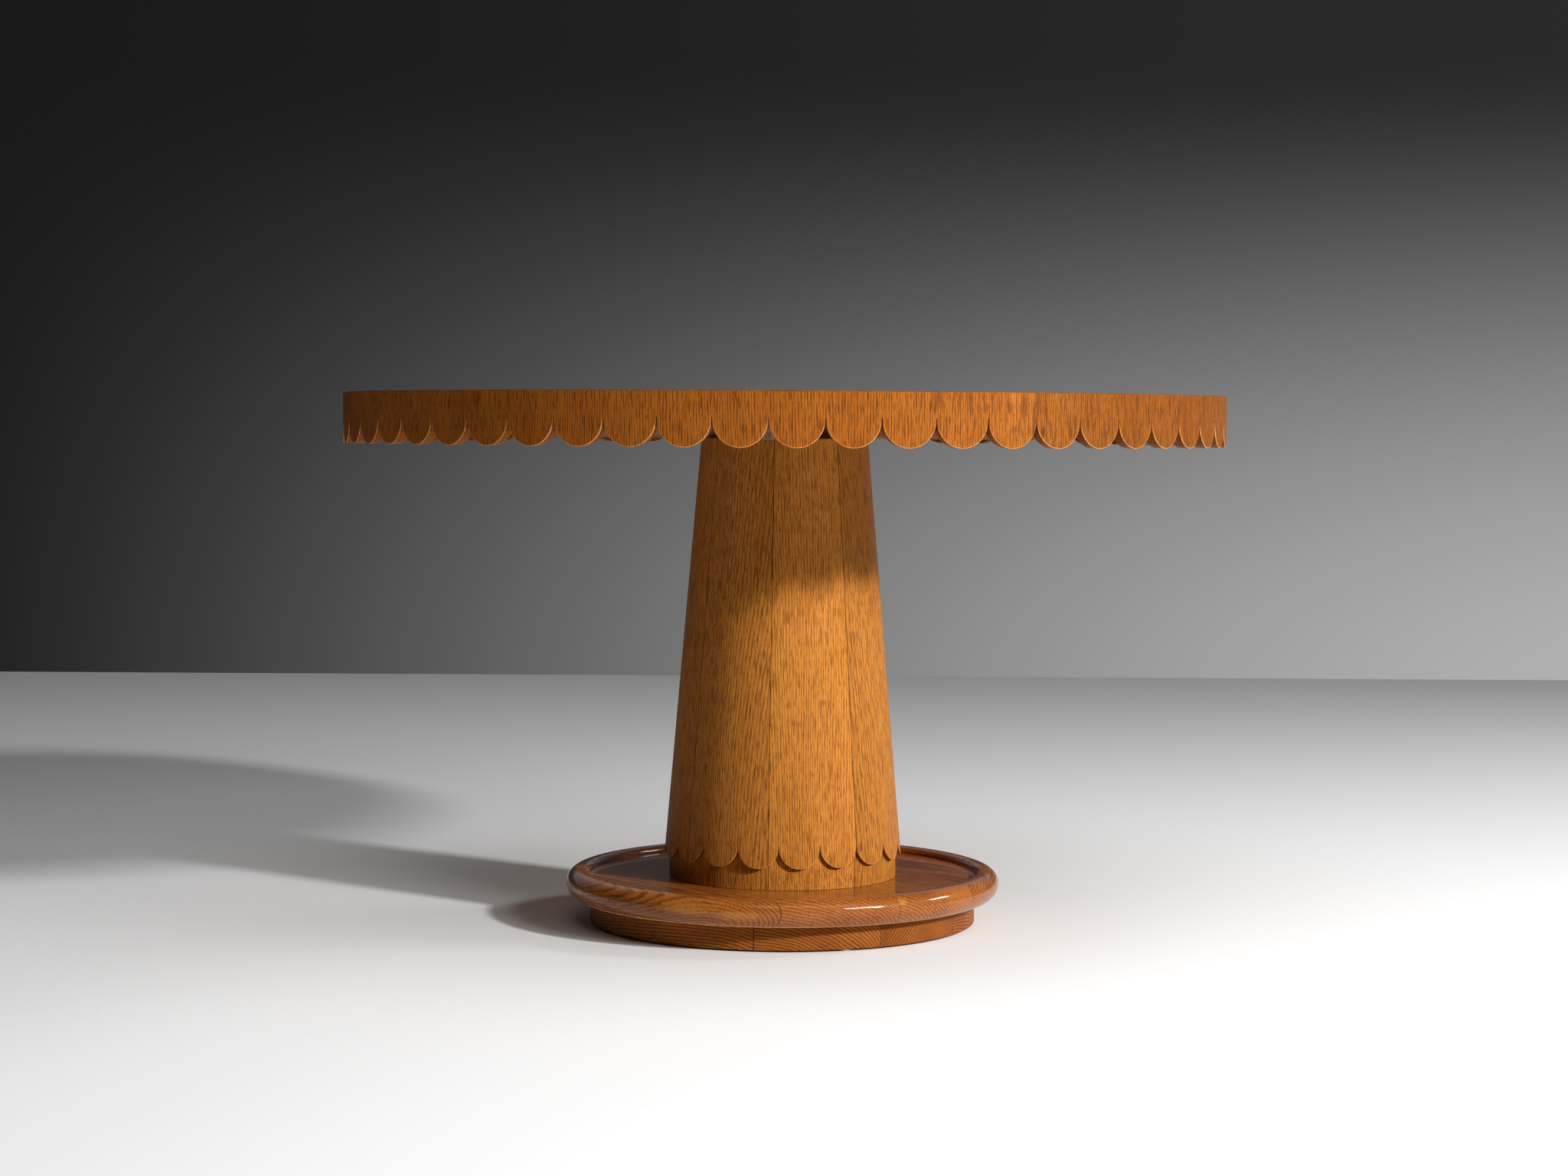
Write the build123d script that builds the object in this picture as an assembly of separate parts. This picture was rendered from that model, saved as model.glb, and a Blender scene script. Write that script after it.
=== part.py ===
from build123d import *
from math import asin, ceil, cos, degrees, radians, sin, tan
import os

# A round pedestal table in oak. A veneered top with a scalloped rim rests on a cross of two
# bearers. The bearers sit on a tapered column of coopered staves, whose skin ends in a second
# row of scallops above a plain drum. The column stands on a turned base of two glued-up layers.
# A steel rod runs down inside the column and clamps the bearers, the column and the base.
#
# Frame: the origin is on the floor, under the middle of the column. +Z is up and -Y is the
# front. Angles are in degrees, anticlockwise from +X as seen from above. Lengths are in mm.

# ---- Overall sizes ----
table_height = 755.0
top_diameter = 1250.0
plinth_diameter = 552.0
base_diameter = 622.0

# ---- Top ----
veneer_thickness = 1.0
core_thickness = 23.0
leaf_count = 8
rim_height = 70.0
rim_thickness = 16.0
rim_segment_count = 4
scallops_per_segment = 14
rim_seam_angle = -59.7
rim_seam_gap = 0.4
rim_spline_thickness = 4.0
rim_spline_width = 14.0

# ---- Scallops ----
kerf_width = 0.9
kerf_rise = 2.0
cut_margin = 2.0

# ---- Bearers ----
bearer_length = 760.0
bearer_width = 70.0
bearer_depth = 37.0
bearer_end_chamfer = 14.0

# ---- Column ----
column_top_diameter = 238.0
column_foot_diameter = 340.0
drum_setback = 7.3
drum_reveal = 30.6
column_scallop_count = 18
column_scallop_angle = 8.1
stave_count = 8
stave_joint_angle = -6.9
stave_thickness = 34.0
column_spline_thickness = 4.0
column_spline_width = 12.0
column_spline_cover = 6.0
column_spline_end_margin = 25.0
top_block_thickness = 40.0
foot_block_thickness = 45.0

# ---- Base ----
glide_height = 2.5
plinth_thickness = 35.0
dish_floor_thickness = 29.0
dish_floor_diameter = 554.0
ring_rise = 9.6
ring_nose_drop = 18.4
ring_underside_diameter = 595.4
board_count = 5
board_width = 146.0
board_grain_angle = -45.5

# ---- Tie rod, an M12 studding ----
rod_diameter = 12.0
rod_hole_clearance = 1.0
rod_end_margin = 2.5
nut_across_flats = 19.0
top_nut_height = 7.0
foot_nut_height = 10.8
washer_diameter = 36.0
washer_thickness = 2.5
washer_pocket_clearance = 2.0
top_pocket_depth = 14.0
foot_pocket_depth = 20.0

# ---- Wood screws: (shank diameter, length, head diameter, head height) ----
core_screw = (4.5, 40.0, 9.0, 3.5)
block_screw = (6.0, 70.0, 12.0, 4.5)
plinth_screw = (5.0, 48.0, 10.0, 4.0)
foot_screw = (8.0, 90.0, 14.0, 6.0)
screw_head_clearance = 1.0
core_screw_radii = (200.0, 330.0)
core_screw_pocket = 12.0
block_screw_count = 4
block_screw_radius = 62.0
block_screw_sink = 0.5
plinth_screw_count = 8
plinth_screw_angle = -41.1
plinth_screw_radius = 215.0
plinth_screw_pocket = 6.0
foot_screw_count = 4
foot_screw_angle = -0.5
foot_screw_radius = 100.0
foot_screw_pocket = 8.0

# ---- Glides ----
glide_count = 6
glide_angle = -71.1
glide_diameter = 20.0
glide_edge_margin = 4.0
glide_edge_radius = 0.8
nail_diameter = 2.4
nail_length = 18.0
nail_head_diameter = 6.0
nail_head_height = 0.8
nail_head_recess = 0.5

# ---- Levels, from the floor up ----
plinth_bottom = glide_height
plinth_top = plinth_bottom + plinth_thickness
dish_floor = plinth_top + dish_floor_thickness
ring_top = dish_floor + ring_rise
ring_nose = ring_top - ring_nose_drop
scallop_foot = dish_floor + drum_reveal
veneer_bottom = table_height - veneer_thickness
core_bottom = veneer_bottom - core_thickness
backing_bottom = core_bottom - veneer_thickness
bearer_bottom = backing_bottom - bearer_depth
rim_bottom = veneer_bottom - rim_height
top_pocket_floor = backing_bottom - top_pocket_depth
foot_pocket_ceiling = plinth_bottom + foot_pocket_depth

# ---- Radii and pitches that follow from the sizes above ----
top_radius = top_diameter / 2
core_radius = top_radius - rim_thickness
rim_scallop_count = rim_segment_count * scallops_per_segment
rim_half_pitch = 180.0 / rim_scallop_count
column_half_pitch = 180.0 / column_scallop_count
stave_pitch = 360.0 / stave_count
drum_radius = column_foot_diameter / 2 - drum_setback
column_taper = (column_foot_diameter - column_top_diameter) / 2 / (bearer_bottom - scallop_foot)
far = top_diameter
column_reach = far / 2


def column_radius(z):
    """Outside radius of the tapered column at a height."""
    return column_foot_diameter / 2 - column_taper * (z - scallop_foot)


def disc(radius, z_low, z_high):
    """A plain disc on the table's axis."""
    return Pos(0, 0, (z_low + z_high) / 2) * Cylinder(radius, z_high - z_low)


def rod_at(x, y, radius, z_low, z_high):
    """An upright round rod, or the hole for one."""
    return Pos(x, y, 0) * disc(radius, z_low, z_high)


def radial_box(angle, width, r_low, r_high, z_low, z_high):
    """A box that runs along a radius, centred on it."""
    size = Box(r_high - r_low, width, z_high - z_low)
    return Rot(0, 0, angle) * Pos((r_low + r_high) / 2, 0, (z_low + z_high) / 2) * size


def radial_cone(angle, half_angle, z, reach):
    """A cone with its tip on the table's axis, opening outwards along a radius."""
    cone = Cone(0, reach * tan(radians(half_angle)), reach)
    return Rot(0, 0, angle) * Pos(reach / 2, 0, z) * Rot(0, 90, 0) * cone


def wedge(angle_low, angle_high, z_low, z_high, reach):
    """An upright slice of space between two angles."""
    steps = ceil((angle_high - angle_low) / 45)
    angles = [angle_low + (angle_high - angle_low) * i / steps for i in range(steps + 1)]
    corners = [(0, 0)] + [(reach * cos(radians(a)), reach * sin(radians(a))) for a in angles]
    return Pos(0, 0, z_low) * extrude(make_face(Polyline(*corners, close=True)), z_high - z_low)


def ring_places(count, radius, first_angle):
    """Points evenly spaced on a circle."""
    angles = [radians(first_angle + 360.0 * i / count) for i in range(count)]
    return [(radius * cos(a), radius * sin(a)) for a in angles]


def export(shape, node):
    """Write one node's solid or solids."""
    shape.label = node
    export_step(shape, f"parts/{node}.step")


def cut_all(shape, tools):
    """Cut a list of tools out of a shape."""
    for tool in tools:
        shape = shape - tool
    return shape


def scallop_cone_angle(half_pitch, radius):
    """Half the angle of one scallop, seen from the axis, once the kerf's width is taken off."""
    return half_pitch - degrees(kerf_width / 2 / radius)


def scallop_centre(foot_z, half_pitch, radius):
    """The height of the scallops' centres, above the foot of their arcs."""
    return foot_z + radius * tan(radians(scallop_cone_angle(half_pitch, radius)))


def scallop_space(angles, half_pitch, radius, floor_radius, z_low, centre_z):
    """The space under and between the scallops at some angles, outside a floor radius."""
    reach = radius + 10 * cut_margin
    space = disc(reach, z_low, centre_z) - disc(floor_radius, z_low, centre_z)
    half_angle = scallop_cone_angle(half_pitch, radius)
    return cut_all(space, [radial_cone(a, half_angle, centre_z, 2 * reach) for a in angles])


def kerf_slot(angle, radius, floor_radius, centre_z):
    """The fine slot that runs on upwards between two scallops."""
    slot = radial_box(
        angle, kerf_width / 2, floor_radius - cut_margin, radius + cut_margin,
        centre_z - cut_margin, centre_z + kerf_rise)
    return slot - disc(floor_radius, centre_z - 2 * cut_margin, centre_z + 2 * kerf_rise)


# ---- Screws ----

def screw(spec, x, y, head_z, upward):
    """A wood screw whose head's outer face is at head_z, pointing up or down."""
    shank_d, length, head_d, head_h = spec
    way = 1 if upward else -1
    neck_z = head_z + way * head_h
    tip_z = head_z + way * length
    head = rod_at(x, y, head_d / 2, min(head_z, neck_z), max(head_z, neck_z))
    shank = rod_at(x, y, shank_d / 2, min(neck_z, tip_z), max(neck_z, tip_z))
    return head + shank


def screw_pocket(spec, x, y, face_z, head_z, upward):
    """The hole for a screw: a pocket for its head and a bore that its shank fills."""
    shank_d, length, head_d, head_h = spec
    way = 1 if upward else -1
    neck_z = head_z + way * head_h
    tip_z = head_z + way * length
    pocket = rod_at(x, y, head_d / 2 + screw_head_clearance, min(face_z, neck_z), max(face_z, neck_z))
    bore = rod_at(x, y, shank_d / 2, min(neck_z, tip_z), max(neck_z, tip_z))
    return pocket + bore


def screw_set(spec, places, face_z, head_z, upward):
    """The screws at a list of places, and the pockets and bores that hold them."""
    screws = [screw(spec, x, y, head_z, upward) for x, y in places]
    pockets = [screw_pocket(spec, x, y, face_z, head_z, upward) for x, y in places]
    return screws, pockets


core_screw_offsets = [way * r for r in core_screw_radii for way in (-1, 1)]
core_places = [(x, 0) for x in core_screw_offsets] + [(0, y) for y in core_screw_offsets]
core_screws, core_pockets = screw_set(
    core_screw, core_places, bearer_bottom, bearer_bottom + core_screw_pocket, True)

block_screws, block_pockets = screw_set(
    block_screw, ring_places(block_screw_count, block_screw_radius, 0), backing_bottom,
    backing_bottom - block_screw_sink, False)

plinth_screws, plinth_pockets = screw_set(
    plinth_screw, ring_places(plinth_screw_count, plinth_screw_radius, plinth_screw_angle),
    plinth_bottom, plinth_bottom + plinth_screw_pocket, True)

foot_screws, foot_pockets = screw_set(
    foot_screw, ring_places(foot_screw_count, foot_screw_radius, foot_screw_angle),
    plinth_bottom, plinth_bottom + foot_screw_pocket, True)


# ---- Tie rod ----

rod_bottom = foot_pocket_ceiling - washer_thickness - foot_nut_height - rod_end_margin
rod_top = top_pocket_floor + washer_thickness + top_nut_height + rod_end_margin
rod_hole_radius = (rod_diameter + rod_hole_clearance) / 2
rod_hole = disc(rod_hole_radius, 0, table_height - veneer_thickness - core_thickness / 2)
washer_pocket_radius = (washer_diameter + washer_pocket_clearance) / 2


def tie_rod():
    """The studding that clamps the bearers, the column and the base."""
    return disc(rod_diameter / 2, rod_bottom, rod_top)


def nut(z_low, height):
    """A hexagon nut on the rod."""
    hexagon = RegularPolygon(nut_across_flats / 2, 6, major_radius=False)
    return Pos(0, 0, z_low) * extrude(hexagon, height) - disc(rod_diameter / 2, 0, table_height)


def washer(z_low):
    """A wide flat washer on the rod."""
    return disc(washer_diameter / 2, z_low, z_low + washer_thickness) - disc(
        rod_diameter / 2, 0, table_height)


def rod_nuts():
    """The nut in the bearers' pocket and the nut in the plinth's pocket."""
    low = nut(foot_pocket_ceiling - washer_thickness - foot_nut_height, foot_nut_height)
    high = nut(top_pocket_floor + washer_thickness, top_nut_height)
    return [low, high]


def rod_washers():
    """The washers between the two nuts and the wood."""
    return [washer(foot_pocket_ceiling - washer_thickness), washer(top_pocket_floor)]


# ---- Top ----

def rim_spline_arc(index):
    """The loose tongue that locates one rim segment on the edge of the core."""
    start = rim_seam_angle + index * 360.0 / rim_segment_count
    middle = (core_bottom + veneer_bottom) / 2
    z_low = middle - rim_spline_thickness / 2
    z_high = middle + rim_spline_thickness / 2
    band = disc(core_radius + rim_spline_width / 2, z_low, z_high) - disc(
        core_radius - rim_spline_width / 2, z_low, z_high)
    end_margin = 2 * rim_half_pitch
    end = start + 360.0 / rim_segment_count - end_margin
    return band & wedge(start + end_margin, end, z_low, z_high, far)


rim_splines = [rim_spline_arc(i) for i in range(rim_segment_count)]


def top_core():
    """The stable core board of the top, grooved for the rim's tongues."""
    return cut_all(disc(core_radius, core_bottom, veneer_bottom), rim_splines + core_pockets)


def backing_veneer():
    """The balancing veneer on the underside of the core."""
    return cut_all(disc(core_radius, backing_bottom, core_bottom), core_pockets)


def veneer_leaf(index):
    """One of the face veneer's leaves, which cover the core and the top of the rim."""
    width = top_diameter / leaf_count
    middle = -top_radius + (index + 0.5) * width
    strip = Pos(0, middle, table_height) * Box(2 * far, width, 4 * veneer_thickness)
    return disc(top_radius, veneer_bottom, table_height) & strip


def rim_segment():
    """The first rim segment, with its scallops; the others are turned copies."""
    span = 360.0 / rim_segment_count
    centre_z = scallop_centre(rim_bottom, rim_half_pitch, top_radius)
    low = rim_bottom - cut_margin
    floor_radius = core_radius - cut_margin
    band = disc(top_radius, low, veneer_bottom) - disc(core_radius, low, veneer_bottom)
    segment = band & wedge(rim_seam_angle, rim_seam_angle + span, low, veneer_bottom, far)
    valleys = [rim_seam_angle + 2 * i * rim_half_pitch for i in range(scallops_per_segment + 1)]
    lobes = [angle + rim_half_pitch for angle in valleys[:-1]]
    space = scallop_space(
        lobes, rim_half_pitch, top_radius, floor_radius, low - cut_margin, centre_z)
    slots = [kerf_slot(angle, top_radius, floor_radius, centre_z) for angle in valleys]
    seams = [
        radial_box(angle, rim_seam_gap, core_radius / 2, far, low, table_height)
        for angle in (valleys[0], valleys[-1])
    ]
    return cut_all(segment, [space] + slots + seams + [rim_splines[0]])


# ---- Bearers ----

def bearer(along_y):
    """One bearer as a plain bar with chamfered ends, before the half-lap."""
    half = bearer_length / 2
    profile = Polyline(
        (-half, backing_bottom),
        (-half, bearer_bottom + bearer_end_chamfer),
        (-half + bearer_end_chamfer, bearer_bottom),
        (half - bearer_end_chamfer, bearer_bottom),
        (half, bearer_bottom + bearer_end_chamfer),
        (half, backing_bottom),
        close=True,
    )
    bar = extrude(Plane.XZ * make_face(profile), bearer_width / 2, both=True)
    return Rot(0, 0, 90 if along_y else 0) * bar


def cut_bearer(bar, lap_low, lap_high):
    """Cut the half-lap between two heights, and the holes for the rod and screws."""
    lap_z = (lap_low + lap_high) / 2
    bar = bar - Pos(0, 0, lap_z) * Box(bearer_width, bearer_width, lap_high - lap_low)
    bar = bar - rod_hole
    bar = bar - disc(washer_pocket_radius, top_pocket_floor, backing_bottom)
    return cut_all(bar, core_pockets + block_pockets)


def bearer_long():
    """The bearer along X, cut away above at the crossing."""
    return cut_bearer(bearer(False), (bearer_bottom + backing_bottom) / 2, backing_bottom)


def bearer_cross():
    """The bearer along Y, cut away below at the crossing."""
    return cut_bearer(bearer(True), bearer_bottom, (bearer_bottom + backing_bottom) / 2)


# ---- Column ----

def cavity_section(z):
    """The eight-sided hollow that the staves' flat backs leave, at a height."""
    apothem = column_radius(z) - stave_thickness
    octagon = RegularPolygon(apothem, stave_count, major_radius=False, rotation=stave_joint_angle)
    return Pos(0, 0, z) * octagon


def cavity(z_low, z_high):
    """The hollow between two heights, or a block that fills it."""
    return loft([cavity_section(z_low), cavity_section(z_high)], ruled=True)


def spline_strip(angle):
    """The spline across one joint between staves, lying along the slope of the joint."""
    low = dish_floor + column_spline_end_margin
    high = bearer_bottom - column_spline_end_margin
    corner = 1 / cos(radians(stave_pitch / 2))
    r_low = (column_radius(low) - stave_thickness) * corner + column_spline_cover
    r_high = (column_radius(high) - stave_thickness) * corner + column_spline_cover
    slope = degrees(asin((r_low - r_high) / ((r_low - r_high) ** 2 + (high - low) ** 2) ** 0.5))
    length = (high - low) / cos(radians(slope))
    strip = Rot(0, -slope, 0) * Box(column_spline_thickness, column_spline_width, length)
    return Rot(0, 0, angle) * Pos((r_low + r_high) / 2, 0, (low + high) / 2) * strip


stave_joints = [stave_joint_angle + i * stave_pitch for i in range(stave_count)]
column_splines = [spline_strip(angle) for angle in stave_joints]


def column_shell():
    """All the staves as one shell: the tapered skin with its scallops, and the drum below."""
    radius = column_foot_diameter / 2
    centre_z = scallop_centre(scallop_foot, column_half_pitch, radius)
    low = scallop_foot - cut_margin
    skin = Pos(0, 0, (low + bearer_bottom) / 2) * Cone(
        column_radius(low), column_radius(bearer_bottom), bearer_bottom - low)
    shell = skin + disc(drum_radius, dish_floor, centre_z)
    valleys = [column_scallop_angle + 2 * i * column_half_pitch for i in range(column_scallop_count)]
    lobes = [angle + column_half_pitch for angle in valleys]
    space = scallop_space(
        lobes, column_half_pitch, radius, drum_radius, low - cut_margin, centre_z)
    slots = [kerf_slot(angle, radius, drum_radius, centre_z) for angle in valleys]
    return cut_all(shell, [space] + slots + [cavity(dish_floor, bearer_bottom)])


def column_stave(shell, index):
    """One stave, cut from the shell between two joints and grooved for its splines."""
    start = stave_joints[index]
    stave = shell & wedge(start, start + stave_pitch, dish_floor, bearer_bottom, column_reach)
    return cut_all(stave, [column_splines[index], column_splines[(index + 1) % stave_count]])


def column_top_block():
    """The block that closes the top of the column and takes the bearers' screws."""
    block = cavity(bearer_bottom - top_block_thickness, bearer_bottom)
    return cut_all(block, [rod_hole] + block_pockets)


def column_foot_block():
    """The block that closes the foot of the column and takes the base's screws."""
    block = cavity(dish_floor, dish_floor + foot_block_thickness)
    return cut_all(block, [rod_hole] + foot_pockets)


# ---- Base ----

def board_strip(index, reach):
    """The slab of space that one board of a glued-up layer fills."""
    inner = [(i + 0.5 - (board_count - 1) / 2) * board_width for i in range(board_count - 1)]
    edges = [-reach] + inner + [reach]
    low = edges[index]
    high = edges[index + 1]
    slab = Box(2 * reach, high - low, table_height)
    return Rot(0, 0, board_grain_angle) * Pos(0, (low + high) / 2, 0) * slab


def dish():
    """The upper layer, turned with a raised round-nosed ring about a flat floor."""
    nose_r = base_diameter / 2
    under_r = ring_underside_diameter / 2
    inner_r = dish_floor_diameter / 2
    drop = ring_nose - plinth_top
    tuck = nose_r - under_r
    lower_arc_radius = (drop ** 2 + tuck ** 2) / (2 * tuck)
    half_sweep = asin(drop / lower_arc_radius) / 2
    lower_mid = (
        nose_r - lower_arc_radius * (1 - cos(half_sweep)),
        ring_nose - lower_arc_radius * sin(half_sweep),
    )
    crest_r = nose_r - ring_nose_drop
    upper_mid = (crest_r + ring_nose_drop * cos(radians(45)), ring_nose + ring_nose_drop * sin(radians(45)))
    inner_mid = (
        inner_r + ring_rise * (1 - cos(radians(45))),
        dish_floor + ring_rise * sin(radians(45)),
    )
    outline = [
        Line((0, plinth_top), (under_r, plinth_top)),
        ThreePointArc((under_r, plinth_top), lower_mid, (nose_r, ring_nose)),
        ThreePointArc((nose_r, ring_nose), upper_mid, (crest_r, ring_top)),
        Line((crest_r, ring_top), (inner_r + ring_rise, ring_top)),
        ThreePointArc((inner_r + ring_rise, ring_top), inner_mid, (inner_r, dish_floor)),
        Line((inner_r, dish_floor), (0, dish_floor)),
        Line((0, dish_floor), (0, plinth_top)),
    ]
    return revolve(Plane.XZ * make_face(outline), Axis.Z, 360)


def plinth():
    """The lower layer, a plain disc that is narrower than the dish above it."""
    return disc(plinth_diameter / 2, plinth_bottom, plinth_top)


def drilled_base(layer):
    """A base layer with the rod's hole, its washer pocket and the holes for screws and nails."""
    washer_pocket = disc(washer_pocket_radius, 0, foot_pocket_ceiling)
    tools = [rod_hole, washer_pocket] + plinth_pockets + foot_pockets + glide_nail_list
    return cut_all(layer, tools)


# ---- Glides ----

glide_radius_out = plinth_diameter / 2 - glide_edge_margin - glide_diameter / 2
glide_places = ring_places(glide_count, glide_radius_out, glide_angle)


def glide_nail(x, y):
    """A nail through a glide into the plinth."""
    head_low = nail_head_recess
    head_high = head_low + nail_head_height
    head = rod_at(x, y, nail_head_diameter / 2, head_low, head_high)
    return head + rod_at(x, y, nail_diameter / 2, head_high, head_low + nail_length)


def glide_pad(x, y):
    """A round pad under the plinth, with its nail's head sunk in it."""
    pad = disc(glide_diameter / 2, 0, glide_height)
    pad = fillet(pad.edges().filter_by(GeomType.CIRCLE).group_by(Axis.Z)[0], glide_edge_radius)
    pad = pad - disc(nail_head_diameter / 2, 0, nail_head_recess)
    return Pos(x, y, 0) * pad - glide_nail(x, y)


glide_nail_list = [glide_nail(x, y) for x, y in glide_places]
glide_pads = [glide_pad(x, y) for x, y in glide_places]


def main():
    """Write every node."""
    os.makedirs("parts", exist_ok=True)

    export(top_core(), "top_core")
    export(backing_veneer(), "backing_veneer")
    for i in range(leaf_count):
        export(veneer_leaf(i), f"top_veneer_leaf_{i + 1}")
    first_segment = rim_segment()
    for i in range(rim_segment_count):
        turned = Rot(0, 0, i * 360.0 / rim_segment_count) * first_segment
        export(turned, f"rim_segment_{i + 1}")
    export(Compound(children=rim_splines), "rim_splines")

    export(bearer_long(), "bearer_long")
    export(bearer_cross(), "bearer_cross")
    export(Compound(children=core_screws), "bearer_to_core_screws")
    export(Compound(children=block_screws), "bearer_to_column_screws")

    shell = column_shell()
    for i in range(stave_count):
        export(column_stave(shell, i), f"column_stave_{i + 1}")
    export(Compound(children=column_splines), "column_splines")
    export(column_top_block(), "column_top_block")
    export(column_foot_block(), "column_foot_block")
    export(tie_rod(), "tie_rod")
    export(Compound(children=rod_nuts()), "tie_rod_nuts")
    export(Compound(children=rod_washers()), "tie_rod_washers")

    drilled_dish = drilled_base(dish())
    drilled_plinth = drilled_base(plinth())
    for i in range(board_count):
        strip = board_strip(i, base_diameter)
        export(drilled_dish & strip, f"base_ring_board_{i + 1}")
        export(drilled_plinth & strip, f"plinth_board_{i + 1}")
    export(Compound(children=foot_screws), "base_to_column_screws")
    export(Compound(children=plinth_screws), "plinth_to_base_screws")
    export(Compound(children=glide_pads), "floor_glides")
    export(Compound(children=glide_nail_list), "glide_nails")


main()
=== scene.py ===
"""The looks of the round pedestal table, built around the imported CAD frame.

The visible oak (rim, face veneer, column staves and both layers of the base) is rebuilt here as
fine closed meshes, one for each CAD node that it replaces. The other CAD nodes are carried over
with better materials. Everything is in metres, and -Y is the front. Angles are in degrees,
anticlockwise from +X as seen from above.
"""

import math

import bmesh
import bpy
import numpy as np
from mathutils import Matrix, Vector


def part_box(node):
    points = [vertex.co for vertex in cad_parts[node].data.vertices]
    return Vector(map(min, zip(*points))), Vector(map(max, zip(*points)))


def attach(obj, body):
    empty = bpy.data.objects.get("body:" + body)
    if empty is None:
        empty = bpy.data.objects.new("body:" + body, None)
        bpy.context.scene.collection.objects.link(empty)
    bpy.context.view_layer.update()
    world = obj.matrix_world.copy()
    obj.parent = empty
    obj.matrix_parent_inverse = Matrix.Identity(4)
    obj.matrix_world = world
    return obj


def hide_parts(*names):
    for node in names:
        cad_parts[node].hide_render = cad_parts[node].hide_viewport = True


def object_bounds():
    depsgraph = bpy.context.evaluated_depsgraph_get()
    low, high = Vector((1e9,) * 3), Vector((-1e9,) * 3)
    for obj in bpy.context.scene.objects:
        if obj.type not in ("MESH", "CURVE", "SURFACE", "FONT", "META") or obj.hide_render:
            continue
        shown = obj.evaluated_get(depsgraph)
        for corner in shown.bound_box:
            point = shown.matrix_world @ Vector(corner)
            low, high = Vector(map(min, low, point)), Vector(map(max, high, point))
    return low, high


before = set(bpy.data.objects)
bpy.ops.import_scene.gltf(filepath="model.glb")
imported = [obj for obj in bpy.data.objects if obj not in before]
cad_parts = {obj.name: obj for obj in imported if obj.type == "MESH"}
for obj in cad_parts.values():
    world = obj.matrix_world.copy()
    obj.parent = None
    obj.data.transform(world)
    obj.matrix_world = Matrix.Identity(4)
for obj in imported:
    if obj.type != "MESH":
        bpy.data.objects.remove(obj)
cad_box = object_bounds()

# ---- Patterns of the part that its boxes don't tell ----

RIM_SEAM_ANGLE = -59.7
RIM_SEGMENTS = 4
RIM_SCALLOPS = 56
COLUMN_VALLEY_ANGLE = 8.1
COLUMN_SCALLOPS = 18
STAVE_JOINT_ANGLE = -6.9
STAVES = 8
LEAVES = 8
BOARDS = 5
BOARD_WIDTH = 0.146
GRAIN_ANGLE = -45.5
KERF_WIDTH = 0.0009
MM = 0.001

# How close to a sawing plane a vertex counts as on it
CUT_TOLERANCE = 1e-7
# How far beside a sawn seam the extra line of vertices runs
SEAM_BAND = 1.5 * MM
# Edges that turn by more than this are shaded sharp
SHARP_ANGLE = 35


# ---- Sizes read from the frame ----

def frame_points(*names):
    """The places of some CAD nodes' vertices, as one array."""
    rows = [v.co[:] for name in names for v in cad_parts[name].data.vertices]
    return np.array(rows)


def reach(points, low, high, pick=max):
    """The largest radius of the points between two heights, or the least one with pick=min."""
    radii = np.hypot(points[:, 0], points[:, 1])
    return float(pick(radii[(points[:, 2] >= low) & (points[:, 2] <= high)]))


stave_names = [f"column_stave_{i + 1}" for i in range(STAVES)]
ring_names = [f"base_ring_board_{i + 1}" for i in range(BOARDS)]
plinth_names = [f"plinth_board_{i + 1}" for i in range(BOARDS)]
leaf_names = [f"top_veneer_leaf_{i + 1}" for i in range(LEAVES)]
rim_names = [f"rim_segment_{i + 1}" for i in range(RIM_SEGMENTS)]

TOP_RADIUS = cad_box[1].x
CORE_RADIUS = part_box("top_core")[1].x
TABLE_HEIGHT = cad_box[1].z
VENEER_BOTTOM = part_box(leaf_names[3])[0].z
RIM_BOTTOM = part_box(rim_names[0])[0].z

stave_points = frame_points(*stave_names)
COLUMN_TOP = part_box(stave_names[0])[1].z
DISH_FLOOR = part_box(stave_names[0])[0].z
COLUMN_TOP_RADIUS = reach(stave_points, COLUMN_TOP - MM, COLUMN_TOP)
COLUMN_FOOT_RADIUS = reach(stave_points, 0, COLUMN_TOP)
DRUM_RADIUS = reach(stave_points, DISH_FLOOR, DISH_FLOOR + MM)
skin = stave_points[np.hypot(stave_points[:, 0], stave_points[:, 1]) > DRUM_RADIUS + 2 * MM]
SCALLOP_FOOT = float(skin[:, 2].min())
octagon_back = reach(stave_points, COLUMN_TOP - MM, COLUMN_TOP, min)
STAVE_THICKNESS = COLUMN_TOP_RADIUS - octagon_back

ring_points = frame_points(*ring_names)
PLINTH_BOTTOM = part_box(plinth_names[2])[0].z
PLINTH_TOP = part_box(plinth_names[2])[1].z
PLINTH_RADIUS = reach(frame_points(*plinth_names), 0, 1)
RING_TOP = float(ring_points[:, 2].max())
RING_RADIUS = reach(ring_points, 0, 1)
RING_FOOT_RADIUS = reach(ring_points, PLINTH_TOP, PLINTH_TOP + 0.1 * MM)
CREST_OUTER = reach(ring_points, RING_TOP - 0.01 * MM, RING_TOP)
CREST_INNER = reach(ring_points, RING_TOP - 0.01 * MM, RING_TOP, min)
RING_NOSE = RING_TOP - (RING_RADIUS - CREST_OUTER)
DISH_RADIUS = CREST_INNER - (RING_TOP - DISH_FLOOR)

COLUMN_TAPER = (COLUMN_FOOT_RADIUS - COLUMN_TOP_RADIUS) / (COLUMN_TOP - SCALLOP_FOOT)


def column_radius(z):
    """Outside radius of the tapered column at a height."""
    return COLUMN_FOOT_RADIUS - COLUMN_TAPER * (z - SCALLOP_FOOT)


def on_circle(radius, angle, z):
    """A point at a radius, an angle in degrees and a height."""
    return (radius * math.cos(math.radians(angle)), radius * math.sin(math.radians(angle)), z)


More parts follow.
